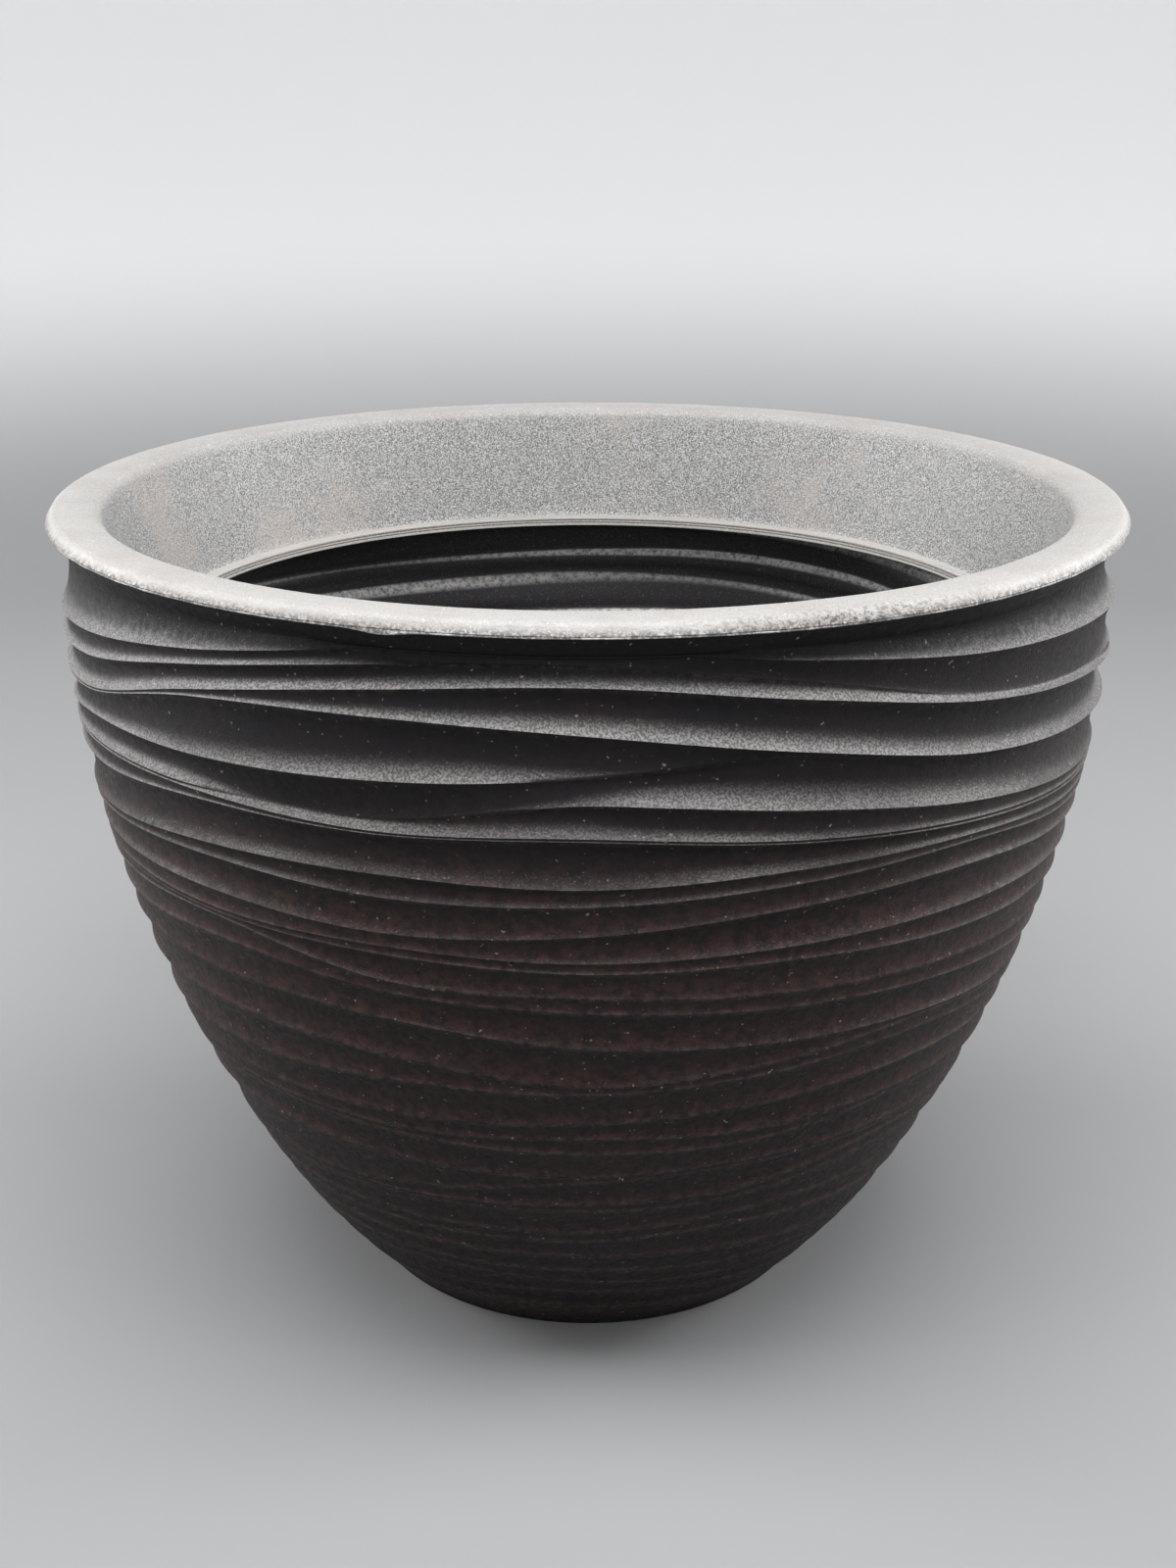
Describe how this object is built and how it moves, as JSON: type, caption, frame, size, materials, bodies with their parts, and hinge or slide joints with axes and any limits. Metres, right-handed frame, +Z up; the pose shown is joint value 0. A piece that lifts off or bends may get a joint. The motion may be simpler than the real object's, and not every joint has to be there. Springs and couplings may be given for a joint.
{
  "type": "planter pot",
  "caption": "Large round tapered planter pot with rippled walls, a rolled rim with an inner collar, a recessed foot and lift-out rubber drain plugs.",
  "frame": {"origin": "centre of the foot, on the surface that the pot stands on", "axes": "+Z is up along the pot's axis, -Y is the front, +X is to the right seen from the front"},
  "size_m": [0.56, 0.56, 0.435],
  "materials": {
    "body_plastic": "dark brown-black moulded plastic with a fine sandblasted grain",
    "rim_plastic": "weathered grey-brown moulded plastic, granular and pale on the top of the rim",
    "plug_rubber": "matte black moulded rubber"
  },
  "bodies": {
    "pot": {"pot_shell": "body_plastic", "rim_collar": "rim_plastic"},
    "plug_front": {"drain_plug_front": "plug_rubber"},
    "plug_right": {"drain_plug_right": "plug_rubber"},
    "plug_back": {"drain_plug_back": "plug_rubber"},
    "plug_left": {"drain_plug_left": "plug_rubber"}
  },
  "joints": [
    {"name": "plug_front_lift", "type": "slide", "parent": "pot", "child": "plug_front", "axis": [0, 0, 1], "range_m": [0, 0.45]},
    {"name": "plug_right_lift", "type": "slide", "parent": "pot", "child": "plug_right", "axis": [0, 0, 1], "range_m": [0, 0.45]},
    {"name": "plug_back_lift", "type": "slide", "parent": "pot", "child": "plug_back", "axis": [0, 0, 1], "range_m": [0, 0.45]},
    {"name": "plug_left_lift", "type": "slide", "parent": "pot", "child": "plug_left", "axis": [0, 0, 1], "range_m": [0, 0.45]}
  ]
}
